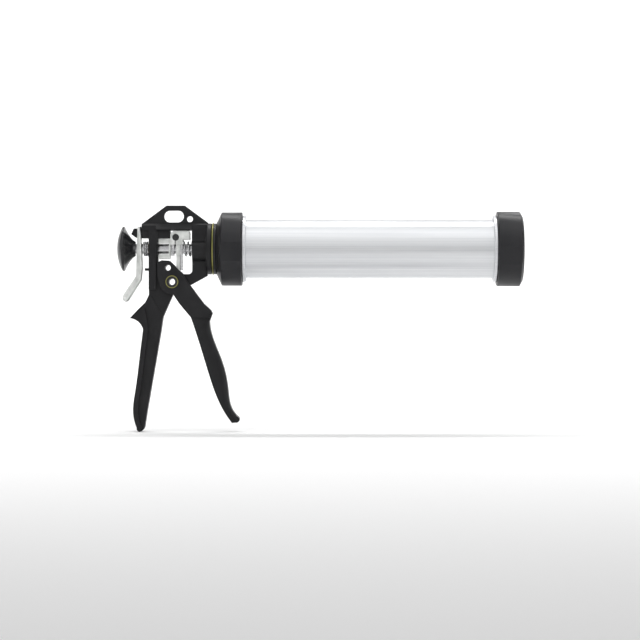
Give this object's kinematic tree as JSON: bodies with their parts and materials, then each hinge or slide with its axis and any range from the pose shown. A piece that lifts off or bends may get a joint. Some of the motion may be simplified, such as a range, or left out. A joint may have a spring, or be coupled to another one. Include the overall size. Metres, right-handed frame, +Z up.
{
  "type": "caulking gun",
  "caption": "Closed-barrel caulking gun: aluminium tube with screw caps, die-cast pistol frame, lever trigger, hexagon plunger rod with pull knob and thumb release.",
  "frame": {"origin": "centre of the nozzle hole on the outer face of the front cap", "axes": "+X along the barrel towards the nozzle, +Z up away from the handles, +Y across to the gun's left side"},
  "size_m": [0.3691, 0.068, 0.2059],
  "materials": {
    "black_casting": "black powder coat, satin",
    "zinc_steel": "zinc plated",
    "bright_steel": "drawn, bright",
    "black_steel": "black oxide",
    "yellow_steel": "yellow passivated",
    "spring_steel": "drawn wire",
    "black_nylon": "moulded, satin",
    "white_nylon": "moulded",
    "bronze": "sintered",
    "anodised": "clear anodised, satin",
    "rubber": "matt"
  },
  "bodies": {
    "frame": {"frame_casting": "black_casting", "pivot_rivet": "black_steel", "pivot_washers": "yellow_steel", "rear_bush": "bronze", "front_bush": "bronze", "swivel_washer": "yellow_steel", "thrust_ring": "black_nylon", "retaining_disc": "zinc_steel", "retaining_screws": "black_steel", "return_spring": "spring_steel", "brake_spring": "spring_steel"},
    "trigger": {"trigger": "black_casting", "drive_pin": "black_steel", "drive_roller": "bright_steel"},
    "carriage": {"carriage": "zinc_steel", "keeper_pin": "black_steel", "gripping_plate_rear": "bright_steel", "gripping_plate_middle": "zinc_steel", "gripping_plate_front": "bright_steel"},
    "lever": {"release_lever": "zinc_steel"},
    "rod": {"plunger_rod": "bright_steel", "pull_knob": "black_nylon", "knob_pin": "black_steel", "piston_back_washer": "zinc_steel", "piston_disc": "white_nylon", "piston_front_washer": "zinc_steel", "piston_nut": "zinc_steel"},
    "barrel": {"barrel_tube": "anodised", "rear_cap": "black_nylon", "rear_gasket": "rubber", "tube_collar_rear": "anodised", "tube_collar_front": "anodised"},
    "nozzle_end": {"nozzle_seat": "zinc_steel", "front_gasket": "rubber"},
    "front_cap": {"front_cap": "black_nylon"}
  },
  "joints": [
    {"name": "trigger_squeeze", "type": "hinge", "parent": "frame", "child": "trigger", "pos_m": [-0.3187, 0, -0.0301], "axis": [0, 1, 0], "range_deg": [0, 28], "stiffness_Nm_per_rad": 0.6, "springref_deg": -17.19},
    {"name": "carriage_slide", "type": "slide", "parent": "frame", "child": "carriage", "axis": [1, 0, 0], "range_m": [0, 0.0066], "deforming": ["return_spring"]},
    {"name": "lever_release", "type": "hinge", "parent": "frame", "child": "lever", "pos_m": [-0.3486, 0, 0.0188], "axis": [0, -1, 0], "range_deg": [0, 2.5], "stiffness_Nm_per_rad": 0.5, "springref_deg": -5.73, "deforming": ["brake_spring"]},
    {"name": "rod_slide", "type": "slide", "parent": "frame", "child": "rod", "axis": [1, 0, 0], "range_m": [-0.236, 0]},
    {"name": "barrel_swivel", "type": "hinge", "parent": "frame", "child": "barrel", "pos_m": [-0.278, 0, 0], "axis": [1, 0, 0], "continuous": true},
    {"name": "front_cap_lift", "type": "slide", "parent": "barrel", "child": "nozzle_end", "axis": [1, 0, 0], "range_m": [0, 0.0201]},
    {"name": "front_cap_turn", "type": "hinge", "parent": "nozzle_end", "child": "front_cap", "pos_m": [0, 0, 0], "axis": [1, 0, 0], "range_deg": [0, 1440]}
  ],
  "couplings": [
    {"joint": "carriage_slide", "follows": "trigger_squeeze", "m_per_rad": 0.0133},
    {"joint": "front_cap_lift", "follows": "front_cap_turn", "m_per_rad": 0.00079577}
  ]
}
